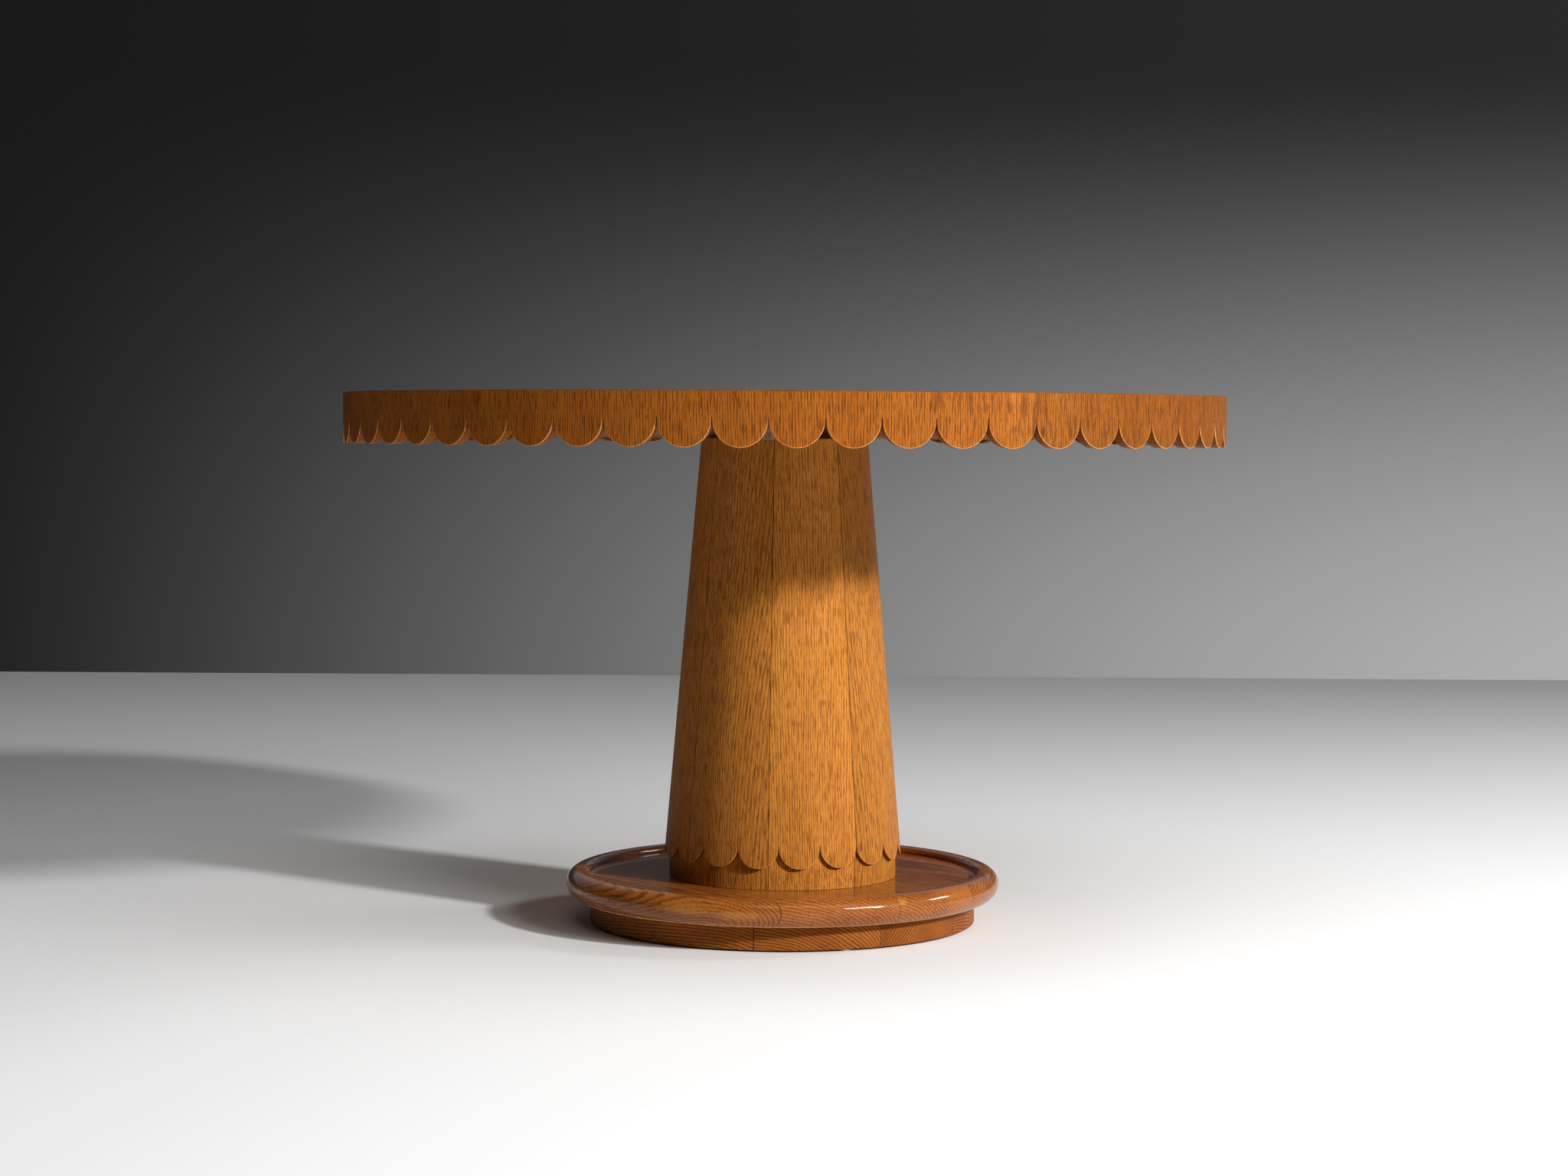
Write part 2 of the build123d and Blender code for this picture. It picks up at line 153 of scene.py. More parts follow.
def radius_of(p):
    """Distance of a place from the table's axis."""
    return math.hypot(p.x, p.y)


def angle_of(p):
    """Angle of a place round the table's axis, in degrees."""
    return math.degrees(math.atan2(p.y, p.x))


def turn_from(middle, p):
    """Degrees from an angle to a place, from -180 to 180."""
    return (angle_of(p) - middle + 180) % 360 - 180


def clamped(value):
    """A value kept from 0 to 1."""
    return max(0.0, min(1.0, value))


# ---- Mesh tools ----

def spread(low, high, count):
    """Evenly spaced values, both ends included."""
    return [low + (high - low) * i / (count - 1) for i in range(count)]


def arc(centre, radius, start, end, count):
    """Points (r, z) along an arc between two angles in degrees."""
    return [
        (centre[0] + radius * math.cos(math.radians(a)), centre[1] + radius * math.sin(math.radians(a)))
        for a in spread(start, end, count)
    ]


def lofted(outlines):
    """A bmesh through a row of closed outlines with the same number of points, capped at its ends."""
    bm = bmesh.new()
    rows = [[bm.verts.new(p) for p in outline] for outline in outlines]
    for here, there in zip(rows, rows[1:]):
        for k in range(len(here)):
            m = (k + 1) % len(here)
            bm.faces.new((here[k], here[m], there[m], there[k]))
    bm.faces.new(rows[0])
    bm.faces.new(reversed(rows[-1]))
    bmesh.ops.recalc_face_normals(bm, faces=bm.faces)
    return bm


def turned(profile, steps):
    """A closed solid of revolution from (r, z) points that run from the axis to the axis."""
    bm = bmesh.new()
    rings = []
    for r, z in profile:
        if r == 0:
            rings.append([bm.verts.new((0, 0, z))])
        else:
            rings.append([bm.verts.new(on_circle(r, 360 * i / steps, z)) for i in range(steps)])
    for a, b in zip(rings, rings[1:]):
        for i in range(steps):
            j = (i + 1) % steps
            if len(a) == 1:
                bm.faces.new((a[0], b[i], b[j]))
            elif len(b) == 1:
                bm.faces.new((a[i], b[0], a[j]))
            else:
                bm.faces.new((a[i], b[i], b[j], a[j]))
    bmesh.ops.recalc_face_normals(bm, faces=bm.faces)
    return bm


def sawn(bm, normal, low, high):
    """A copy of a solid, sawn off at two parallel planes at distances along a normal."""
    piece = bm.copy()
    for offset, side in ((low, -1), (high, 1)):
        if offset is None:
            continue
        geometry = piece.verts[:] + piece.edges[:] + piece.faces[:]
        cut = bmesh.ops.bisect_plane(
            piece, geom=geometry, dist=CUT_TOLERANCE, plane_co=Vector(normal) * offset,
            plane_no=Vector(normal) * side, clear_outer=True)
        edges = [e for e in cut["geom_cut"] if isinstance(e, bmesh.types.BMEdge)]
        bmesh.ops.triangle_fill(piece, use_beauty=True, use_dissolve=False, edges=edges)
        # A line of vertices beside the cut keeps the painted seam narrow on large flat faces
        geometry = piece.verts[:] + piece.edges[:] + piece.faces[:]
        bmesh.ops.bisect_plane(
            piece, geom=geometry, dist=CUT_TOLERANCE, plane_no=Vector(normal),
            plane_co=Vector(normal) * (offset - side * SEAM_BAND))
    bmesh.ops.recalc_face_normals(piece, faces=piece.faces)
    return piece


def no_seam(p):
    """The seam distance on a piece without a painted joint: far away everywhere."""
    return 1.0


def make_piece(name, bm, material, grain, seam, worn_edge_and_painted_light, tone):
    """An object from a bmesh, with the values that its wood is painted by at each vertex.

    grain(p) gives the place in the log as (across, depth, along) from its heart, seam(p) the
    distance to the nearest glued joint, and the next function how strongly an edge takes the edge
    colour: partly wear and partly a painted highlight on the rim, column and base, and painted
    shade on the veneer's edge. tone sets how light the piece is. The object stands in for the CAD
    node of the same name.
    """
    mesh = bpy.data.meshes.new("visual_" + name)
    bm.to_mesh(mesh)
    bm.free()
    mesh.shade_smooth()
    mesh.set_sharp_from_angle(angle=math.radians(SHARP_ANGLE))
    places = [v.co.copy() for v in mesh.vertices]
    grain_data = mesh.attributes.new("grain", "FLOAT_VECTOR", "POINT")
    grain_data.data.foreach_set("vector", [c for p in places for c in grain(p)])
    seam_data = mesh.attributes.new("seam", "FLOAT", "POINT")
    seam_data.data.foreach_set("value", [seam(p) for p in places])
    worn_edge_and_painted_light_data = mesh.attributes.new("worn_edge_and_painted_light", "FLOAT", "POINT")
    worn_edge_and_painted_light_data.data.foreach_set("value", [worn_edge_and_painted_light(p) for p in places])
    tone_data = mesh.attributes.new("tone", "FLOAT", "POINT")
    tone_data.data.foreach_set("value", [tone] * len(places))
    mesh.materials.append(material)
    piece = bpy.data.objects.new("visual_" + name, mesh)
    bpy.context.scene.collection.objects.link(piece)
    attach(piece, "root")
    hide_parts(name)


# ---- Node tools ----

class Nodes:
    """Builds nodes in a node tree, with short calls for the nodes that repeat."""

    def __init__(self, tree):
        self.nodes = tree.nodes
        self.links = tree.links
        self.nodes.clear()

    def feed(self, socket, value):
        """Link a socket to a socket, or set a plain value on it."""
        if isinstance(value, bpy.types.NodeSocket):
            self.links.new(value, socket)
        else:
            socket.default_value = value

    def attribute(self, name, output="Fac"):
        node = self.nodes.new("ShaderNodeAttribute")
        node.attribute_name = name
        return node.outputs[output]

    def place(self):
        return self.nodes.new("ShaderNodeTexCoord").outputs["Object"]

    def math(self, operation, *values):
        node = self.nodes.new("ShaderNodeMath")
        node.operation = operation
        for socket, value in zip(node.inputs, values):
            self.feed(socket, value)
        return node.outputs[0]

    def vector(self, operation, *values, output=0):
        node = self.nodes.new("ShaderNodeVectorMath")
        node.operation = operation
        for socket, value in zip(node.inputs, values):
            self.feed(socket, value)
        return node.outputs[output]

    def scaled(self, vector, factor):
        """A vector or colour times a number."""
        node = self.nodes.new("ShaderNodeVectorMath")
        node.operation = "SCALE"
        self.feed(node.inputs[0], vector)
        self.feed(node.inputs["Scale"], factor)
        return node.outputs[0]

    def split(self, vector):
        node = self.nodes.new("ShaderNodeSeparateXYZ")
        self.feed(node.inputs[0], vector)
        return node.outputs[:]

    def join(self, x, y, z):
        node = self.nodes.new("ShaderNodeCombineXYZ")
        for socket, value in zip(node.inputs, (x, y, z)):
            self.feed(socket, value)
        return node.outputs[0]

    def noise(self, vector, scale, detail=2.0, rough=0.5):
        """Noise from 0 to 1, with its own scale along each axis, in cells for each metre."""
        node = self.nodes.new("ShaderNodeTexNoise")
        self.feed(node.inputs["Vector"], self.vector("MULTIPLY", vector, scale))
        node.inputs["Scale"].default_value = 1.0
        node.inputs["Detail"].default_value = detail
        node.inputs["Roughness"].default_value = rough
        return node.outputs[0]

    def step(self, value, low, high, to_low=0.0, to_high=1.0):
        """A smooth step between two values."""
        node = self.nodes.new("ShaderNodeMapRange")
        node.interpolation_type = "SMOOTHSTEP"
        for socket, v in zip(node.inputs, (value, low, high, to_low, to_high)):
            self.feed(socket, v)
        return node.outputs[0]

    def mix(self, factor, a, b):
        """A colour from a to b by a factor."""
        node = self.nodes.new("ShaderNodeMix")
        node.data_type = "RGBA"
        self.feed(node.inputs[0], factor)
        self.feed(node.inputs[6], a)
        self.feed(node.inputs[7], b)
        return node.outputs[2]

    def spot(self, place, centre, radii, soft=0.6):
        """A soft oval blot, 1 at its centre, with ragged edges."""
        offset = self.vector("SUBTRACT", place, centre)
        scaled = self.vector("DIVIDE", offset, radii)
        distance = self.vector("LENGTH", scaled, output="Value")
        ragged = self.math("SUBTRACT", self.noise(place, (160, 160, 90), 3), 0.5)
        distance = self.math("ADD", distance, self.math("MULTIPLY", ragged, soft))
        return self.step(distance, 1.1, 0.35)

    def bump(self, height, strength, distance):
        node = self.nodes.new("ShaderNodeBump")
        node.inputs["Strength"].default_value = strength
        node.inputs["Distance"].default_value = distance
        self.feed(node.inputs["Height"], height)
        return node.outputs[0]


class Shader(Nodes):
    """One node material."""

    def __init__(self, name):
        self.material = bpy.data.materials.new(name)
        self.material.use_nodes = True
        super().__init__(self.material.node_tree)
        self.surface = self.nodes.new("ShaderNodeBsdfPrincipled")
        output = self.nodes.new("ShaderNodeOutputMaterial")
        self.links.new(self.surface.outputs[0], output.inputs["Surface"])

    def finish(self, color, roughness, normal=None, **sockets):
        self.feed(self.surface.inputs["Base Color"], color)
        self.feed(self.surface.inputs["Roughness"], roughness)
        if normal is not None:
            self.feed(self.surface.inputs["Normal"], normal)
        for name, value in sockets.items():
            self.feed(self.surface.inputs[name.replace("_", " ")], value)
        return self.material


def rgb(red, green, blue):
    """A linear colour from the 0-255 values that a picture shows."""
    values = [v / 255 for v in (red, green, blue)]
    linear = [v / 12.92 if v <= 0.04045 else ((v + 0.055) / 1.055) ** 2.4 for v in values]
    return (*linear, 1.0)


# ---- Oak ----

def deepened(color, factor):
    """A darker copy of a colour."""
    return tuple(factor * c for c in color[:3]) + (1.0,)


LACQUER_TINT = (1.0, 0.72, 0.42, 1.0)
GLUE_DARK = rgb(46, 20, 8)
# Seam distances at which the glue line starts to show, and where it is full
GLUE_EDGE = 0.7 * MM
GLUE_CORE = 0.3 * MM


def oak(name, light, middle, dark, worn_edge_and_painted_light_color, pitch, relief, growth, streaky, gloss=0.46, mottle=1.0,
        stains=(), dents=(), specular=0.16, coat=0.0, coat_roughness=0.1):
    """Lacquered oak, cut from a log whose heart runs along the grain attribute's third axis.

    growth and streaky are how strongly the growth rings and the long dark streaks show, pitch is
    the width of a growth ring in metres and relief the depth of the open grain in millimetres.
    gloss is the roughness of the lacquer, and the edge colour is painted where the edge attribute
    says: partly wear and partly a painted highlight where it is light, and painted shade where it
    is dark. A stain is (centre, radii, strength, colour) and a dent (centre, radii).
    """
    s = Shader(name)
    grain = s.attribute("grain", "Vector")
    tone = s.attribute("tone")
    shifted = s.vector("ADD", grain, s.scaled((3.1, 5.7, 1.9), tone))

    # Growth rings, which wander slowly along the log and ripple a little
    wander = s.noise(shifted, (7, 7, 1.6), 2)
    ripple = s.noise(shifted, (60, 60, 9), 2)
    across, depth, along = s.split(grain)
    push = s.math("MULTIPLY", s.math("SUBTRACT", wander, 0.5), 0.030)
    push = s.math("MULTIPLY_ADD", s.math("SUBTRACT", ripple, 0.5), 0.0024, push)
    from_heart = s.vector("LENGTH", s.join(across, depth, 0.0), output="Value")
    rings = s.math("DIVIDE", s.math("ADD", from_heart, push), pitch)
    phase = s.math("FRACT", rings)
    year = s.math("FLOOR", rings)
    early = s.math("MULTIPLY", s.step(phase, 0.0, 0.10), s.step(phase, 0.62, 0.24))
    year_tone = s.noise(s.join(s.math("MULTIPLY", year, 0.37), tone, 0.0), (1, 1, 1), 0)

    # Open grain: long dark streaks with shorter, finer pores between them, both thickest in the
    # early wood
    crowd = s.math("MULTIPLY", early, 0.05)
    streaks = s.step(s.math("ADD", s.noise(shifted, (540, 540, 32), 2.0), crowd), 0.53, 0.62)
    dashes = s.step(s.math("ADD", s.noise(shifted, (1000, 1000, 70), 1.5), crowd), 0.56, 0.64)
    fibre = s.noise(shifted, (2600, 2600, 90), 2)
    cloud = s.noise(shifted, (16, 16, 2.2), 3)

    color = s.mix(s.step(cloud, 0.25, 0.75, 0.5 - 0.5 * mottle, 0.5 + 0.5 * mottle), middle, light)
    color = s.mix(s.math("MULTIPLY", s.step(year_tone, 0.35, 0.65), 0.25), color, light)
    color = s.mix(s.math("MULTIPLY", early, growth), color, dark)
    color = s.mix(s.math("MULTIPLY", streaks, streaky), color, dark)
    color = s.mix(s.math("MULTIPLY", dashes, 0.45), color, deepened(dark, 0.5))
    grey = s.math("MULTIPLY_ADD", s.math("SUBTRACT", fibre, 0.5), 0.22, 1.0)
    shade = s.math("MULTIPLY", grey, s.step(s.noise(shifted, (4, 4, 0.7), 1), 0.2, 0.8, 0.90, 1.08))
    shade = s.math("MULTIPLY", shade, s.math("MULTIPLY_ADD", tone, 0.50, 0.72))
    color = s.scaled(color, shade)

    #     Glue lines; the edge colour, partly wear and partly a painted highlight, and painted shade on
    #     the veneer's edge; stains
    seam = s.attribute("seam")
    color = s.mix(s.step(seam, GLUE_EDGE, GLUE_CORE, 0.0, 0.8), color, GLUE_DARK)
    # Painted highlight and wear along edges, and painted shade on the veneer's edge, broken up by noise
    edge_paint_breakup = s.step(s.noise(shifted, (300, 300, 120), 2), 0.3, 0.6, 0.45, 1.0)
    color = s.mix(s.math("MULTIPLY", s.attribute("worn_edge_and_painted_light"), edge_paint_breakup), color, worn_edge_and_painted_light_color)
    place = s.place()
    for centre, radii, strength, stain in stains:
        color = s.mix(s.math("MULTIPLY", s.spot(place, centre, radii), strength), color, stain)

    # Relief: sunken streaks and pores, a faint fibre, and dents
    height = s.math("MULTIPLY_ADD", streaks, -0.8, s.math("MULTIPLY", dashes, -0.6))
    height = s.math("MULTIPLY_ADD", early, -0.25, height)
    height = s.math("MULTIPLY_ADD", fibre, 0.25, height)
    for centre, radii in dents:
        dent = s.spot(place, centre, radii, 1.2)
        height = s.math("MULTIPLY_ADD", dent, -2.5, height)
        color = s.mix(s.math("MULTIPLY", dent, 0.45), color, dark)
    normal = s.bump(height, 1.0, relief * MM)
    rough = s.math("MULTIPLY_ADD", dashes, 0.12, gloss)
    rough = s.math("MULTIPLY_ADD", s.math("SUBTRACT", cloud, 0.5), 0.10, rough)
    extra = {"Specular_IOR_Level": specular, "Specular_Tint": LACQUER_TINT}
    if coat:
        flow = s.bump(s.noise(place, (70, 70, 70), 2), 0.10, 0.6 * MM)
        s.feed(s.surface.inputs["Coat Normal"], flow)
        extra.update(Coat_Weight=coat, Coat_Roughness=coat_roughness, Coat_IOR=1.42)
    return s.finish(color, rough, normal, **extra)


def near_seam(offset, drop):
    """A place on the rim's face, a distance to the right of its front seam and below the top."""
    angle = RIM_SEAM_ANGLE + math.degrees(offset / TOP_RADIUS)
    return on_circle(TOP_RADIUS, angle, TABLE_HEIGHT - drop)


def on_column(angle, z):
    """A place on the column's face."""
    return on_circle(column_radius(z), angle, z)


def on_ring(angle, inset, drop):
    """A place on the base's ring, inwards from its nose and below its crest."""
    return on_circle(RING_RADIUS - inset, angle, RING_TOP - drop)


HONEY_LIGHT = rgb(194, 126, 52)
HONEY = rgb(174, 106, 36)
HONEY_DARK = rgb(104, 52, 12)
AMBER_LIGHT = rgb(148, 84, 22)
AMBER = rgb(124, 64, 13)
AMBER_DARK = rgb(72, 31, 6)
RUSSET_LIGHT = rgb(172, 100, 38)
RUSSET = rgb(144, 74, 24)
RUSSET_DARK = rgb(62, 26, 8)
STAIN = rgb(96, 46, 16)
SCORCH = rgb(66, 42, 24)
KNOT = rgb(64, 34, 14)
GOLD = rgb(196, 128, 52)
PALE_GOLD = rgb(206, 146, 70)

# Its light edge colour paints wear and a highlight along the scallops' arrises
rim_oak = oak(
    "rim_oak_lacquer", AMBER_LIGHT, AMBER, AMBER_DARK, worn_edge_and_painted_light_color=rgb(214, 148, 80), pitch=0.0036,
    relief=0.22, growth=0.22, streaky=0.62, mottle=0.6,
    stains=(
        (near_seam(-0.004, 0.031), (0.004, 0.004, 0.034), 0.60, SCORCH),
        (near_seam(-0.018, 0.018), (0.006, 0.006, 0.020), 0.60, STAIN),
        (near_seam(-0.022, 0.027), (0.004, 0.004, 0.016), 0.45, STAIN),
        (near_seam(-0.137, 0.007), (0.008, 0.008, 0.012), 0.50, STAIN),
        (near_seam(-0.135, 0.015), (0.004, 0.004, 0.010), 0.45, STAIN),
        (near_seam(0.010, 0.049), (0.005, 0.005, 0.009), 0.70, KNOT),
    ))
# Its dark edge colour is painted shade along the rounded top edge
veneer_oak = oak(
    "veneer_oak_lacquer", AMBER_LIGHT, AMBER, AMBER_DARK, worn_edge_and_painted_light_color=rgb(92, 48, 16), pitch=0.0042,
    relief=0.08, growth=0.30, streaky=0.40, gloss=0.52, specular=0.04)
# Its light edge colour paints wear and a highlight along the scallops' arrises
column_oak = oak(
    "column_oak_lacquer", HONEY_LIGHT, HONEY, HONEY_DARK, worn_edge_and_painted_light_color=rgb(220, 158, 92), pitch=0.0036,
    relief=0.24, growth=0.30, streaky=0.52, mottle=0.6,
    dents=(
        (on_column(-68.6, 0.326), (0.005, 0.005, 0.005)),
        (on_column(-61.3, 0.205), (0.004, 0.004, 0.005)),
        (on_column(-56.0, 0.650), (0.004, 0.004, 0.006)),
    ))
# Its light golden edge colour is a painted highlight on the ring's small upright land
ring_oak = oak(
    "ring_oak_gloss", RUSSET_LIGHT, RUSSET, RUSSET_DARK, worn_edge_and_painted_light_color=rgb(226, 164, 88), pitch=0.0044,
    relief=0.05, growth=0.42, streaky=0.42, gloss=0.40, coat=0.8, coat_roughness=0.07,
    stains=(
        (on_ring(-112.0, 0.019, 0.016), (0.075, 0.030, 0.012), 0.55, GOLD),
        (on_ring(-100.0, 0.011, 0.022), (0.045, 0.020, 0.010), 0.40, GOLD),
        (on_ring(-58.0, 0.011, 0.010), (0.012, 0.012, 0.008), 0.55, PALE_GOLD),
    ))
# Its light edge colour is a painted highlight along the plinth's top arris
plinth_oak = oak(
    "plinth_oak_satin", RUSSET_LIGHT, RUSSET, RUSSET_DARK, worn_edge_and_painted_light_color=rgb(206, 142, 70), pitch=0.0042,
    relief=0.10, growth=0.62, streaky=0.30, gloss=0.50)


# ---- Scallops ----

ARRIS_STEPS = 5


def scallop_height(across, radius, inset, rise):
    """Height of a scalloped edge above the scallops' centres, for a scallop of a given radius.

    across is the distance from the scallop's middle. Past the arc the edge climbs the fine kerf
    between two scallops, up to its tip.
    """
    arc_radius = radius - inset
    if abs(across) < arc_radius:
        return -math.sqrt(arc_radius ** 2 - across ** 2)
    climb = (abs(across) - arc_radius) / (radius + KERF_WIDTH / 2 - arc_radius)
    return climb * (rise + 1.5 * inset)


class Scallops:
    """A row of scallops round the table's axis."""

    def __init__(self, count, valley_angle, foot_z, radius, kerf_rise):
        self.pitch = 360 / count
        self.valley_angle = valley_angle
        self.half_angle = self.pitch / 2 - math.degrees(KERF_WIDTH / 2 / radius)
        self.centre_z = foot_z + radius * math.tan(math.radians(self.half_angle))
        self.kerf_rise = kerf_rise

    def from_lobe(self, angle):
        """An angle from the middle of the scallop that it is in."""
        return (angle - self.valley_angle) % self.pitch - self.pitch / 2

    def edge_z(self, angle, radius, inset):
        """Height of the scalloped edge at an angle and a radius, moved into the wood by an inset."""
        off = math.radians(self.from_lobe(angle))
        along = radius * math.cos(off)
        lobe_radius = along * math.tan(math.radians(self.half_angle))
        return self.centre_z + scallop_height(along * math.tan(off), lobe_radius, inset, self.kerf_rise)

    def angles(self, first_valley, count, steps=30):
        """The angles at which a row of scallops needs an outline, closest beside the kerfs."""
        found = [first_valley]
        for lobe in range(count):
            middle = first_valley + (lobe + 0.5) * self.pitch
            for t in spread(-90, 90, steps + 1):
                slope = math.tan(math.radians(self.half_angle)) * math.sin(math.radians(t))
                found.append(middle + math.degrees(math.atan(slope)))
            found.append(first_valley + (lobe + 1) * self.pitch)
        return found


# ---- Rim ----

RIM_ARRIS = 0.9 * MM
RIM_BACK_ARRIS = 0.5 * MM
# The outline's plain rows stop this far above the painted edge of an arris
ARRIS_MARGIN = 0.4 * MM
# How far past an arris its painted edge, partly wear and partly a painted highlight, still counts
EDGE_PAINT_MARGIN = 0.2 * MM
# Over this height below the scallops' centres the rim's painted edge grows to full strength
RIM_EDGE_PAINT_HEIGHT = 12 * MM
# Where the log's heart lies from a segment's middle: along the rim, and behind its face
RIM_HEART = (0.9, 0.05)
# Half the width of a rim seam at its top, how much it opens to the bottom, and over what height
SEAM_CLOSED = 0.22 * MM
SEAM_PARTING = 0.34 * MM
SEAM_CLIMB = 22 * MM
rim_row = Scallops(RIM_SCALLOPS, RIM_SEAM_ANGLE, RIM_BOTTOM, TOP_RADIUS, 3.5 * MM)


def seam_gap(z):
    """Half the opening between two rim segments, which have parted towards the bottom."""
    climb = (z - rim_row.centre_z) / SEAM_CLIMB
    return SEAM_PARTING * clamped(1.35 - climb) ** 2 + SEAM_CLOSED


def rim_outline(angle, end):
    """The closed outline of the rim at an angle. end is -1 or 1 at a segment's two ends."""
    outline = []
    plain = rim_row.edge_z(angle, TOP_RADIUS, RIM_ARRIS + ARRIS_MARGIN)
    outline += [(TOP_RADIUS, z) for z in spread(VENEER_BOTTOM, plain, 9)]
    for beta in spread(0, 90, ARRIS_STEPS):
        inset = RIM_ARRIS * (1 - math.sin(math.radians(beta)))
        radius = TOP_RADIUS - RIM_ARRIS * (1 - math.cos(math.radians(beta)))
        outline.append((radius, rim_row.edge_z(angle, TOP_RADIUS, inset)))
    for radius in (TOP_RADIUS - RIM_ARRIS - RIM_BACK_ARRIS, CORE_RADIUS + RIM_BACK_ARRIS):
        outline.append((radius, rim_row.edge_z(angle, radius, 0)))
    outline.append((CORE_RADIUS, rim_row.edge_z(angle, CORE_RADIUS, RIM_BACK_ARRIS)))
    outline += [(CORE_RADIUS, z) for z in spread(outline[-1][1], VENEER_BOTTOM, 5)[1:]]
    points = []
    for radius, z in outline:
        turn = 0.0
        if end and z > rim_row.centre_z:
            turn = end * math.degrees((KERF_WIDTH / 2 - seam_gap(z)) / radius)
        points.append(on_circle(radius, angle + turn, z))
    return points


def rim_segment(index):
    """One quarter of the rim."""
    span = 360 / RIM_SEGMENTS
    count = RIM_SCALLOPS // RIM_SEGMENTS
    start = RIM_SEAM_ANGLE + index * span
    angles = rim_row.angles(start, count)[1:-1]
    last = len(angles) - 1
    outlines = [rim_outline(a, (i == last) - (i == 0)) for i, a in enumerate(angles)]
    middle = start + span / 2

    def grain(p):
        along_rim = TOP_RADIUS * math.radians(turn_from(middle, p))
        return (along_rim + RIM_HEART[0], RIM_HEART[1] + TOP_RADIUS - radius_of(p), p.z)

    # Lighter edge colour along the scallops' lower arris: partly wear, partly a painted highlight where
    # the rounded arris catches the light
    def worn_edge_and_painted_light(p):
        edge = rim_row.edge_z(angle_of(p), TOP_RADIUS, RIM_ARRIS + EDGE_PAINT_MARGIN)
        outer = radius_of(p) > TOP_RADIUS - RIM_ARRIS - EDGE_PAINT_MARGIN
        below = clamped((rim_row.centre_z - p.z) / RIM_EDGE_PAINT_HEIGHT)
        return 0.7 * below if outer and p.z < edge else 0.0

    tone = 0.31 + 0.23 * index
    make_piece(rim_names[index], lofted(outlines), rim_oak, grain, no_seam, worn_edge_and_painted_light, tone)


# ---- Column ----

COLUMN_ARRIS = 0.7 * MM
JOINT_GROOVE = 0.35 * MM
DRUM_FOOT_ARRIS = 0.6 * MM
# Over this height below the scallops' centres the column's painted edge grows to full strength
COLUMN_EDGE_PAINT_HEIGHT = 10 * MM
# The gap that each stave leaves at a joint, and the least angle between two outlines
STAVE_GAP = 0.05 * MM
LEAST_STEP = 0.02
column_row = Scallops(COLUMN_SCALLOPS, COLUMN_VALLEY_ANGLE, SCALLOP_FOOT, COLUMN_FOOT_RADIUS, 4 * MM)

# Of each stave, from the joint at STAVE_JOINT_ANGLE on: where the log's heart lies, across the
# stave and behind its face, how far it leans along the stave, and the tone.
STAVE_FIGURES = (
    (0.16, 0.05, 0.00, 0.55),
    (-0.20, 0.04, 0.01, 0.30),
    (0.05, 0.06, 0.03, 0.70),
    (0.22, 0.05, 0.00, 0.42),
    (-0.12, 0.05, 0.02, 0.35),
    (-0.10, 0.05, 0.05, 0.30),
    (0.24, 0.04, 0.00, 0.66),
    (0.09, 0.055, 0.035, 0.40),
)
# The stave whose first joint has opened a little, and by how much at its widest
OPEN_JOINT = 7
OPEN_JOINT_WIDTH = 0.45 * MM


def column_outline(angle, middle, sunk, opening):
    """The closed outline of a stave at an angle, with its face sunk a little at a joint."""

    def point(radius, z, shift=0.0):
        return on_circle(radius, angle + math.degrees(shift / radius), z)

    def gape(z):
        climb = clamped((z - SCALLOP_FOOT) / (COLUMN_TOP - SCALLOP_FOOT))
        return opening * (0.25 + 0.75 * math.sin(math.pi * climb))

    rows = []
    high = column_row.edge_z(angle, COLUMN_FOOT_RADIUS, COLUMN_ARRIS + ARRIS_MARGIN)
    for z in spread(COLUMN_TOP, high, 14):
        rows.append((column_radius(z) - sunk, z))
    for beta in spread(0, 90, ARRIS_STEPS):
        inset = COLUMN_ARRIS * (1 - math.sin(math.radians(beta)))
        z = column_row.edge_z(angle, COLUMN_FOOT_RADIUS, inset)
        back = COLUMN_ARRIS * (1 - math.cos(math.radians(beta)))
        rows.append((column_radius(z) - sunk - back, z))
    for radius in (COLUMN_FOOT_RADIUS - COLUMN_ARRIS - 1.5 * MM, DRUM_RADIUS + 0.3 * MM):
        z = column_row.edge_z(angle, radius, 0)
        rows.append((min(radius, column_radius(z) - sunk - COLUMN_ARRIS), z))
    corner = column_row.edge_z(angle, DRUM_RADIUS, 0)
    for z in spread(corner, DISH_FLOOR + DRUM_FOOT_ARRIS, 5):
        rows.append((DRUM_RADIUS - sunk, z))
    rows.append((DRUM_RADIUS - sunk - DRUM_FOOT_ARRIS, DISH_FLOOR))
    half = math.cos(math.radians(angle - middle))
    back_heights = spread(DISH_FLOOR, COLUMN_TOP, 4)
    back_rows = [((column_radius(z) - STAVE_THICKNESS) / half, z) for z in back_heights]
    return [point(r, z, gape(z)) for r, z in rows] + [point(r, z) for r, z in back_rows]


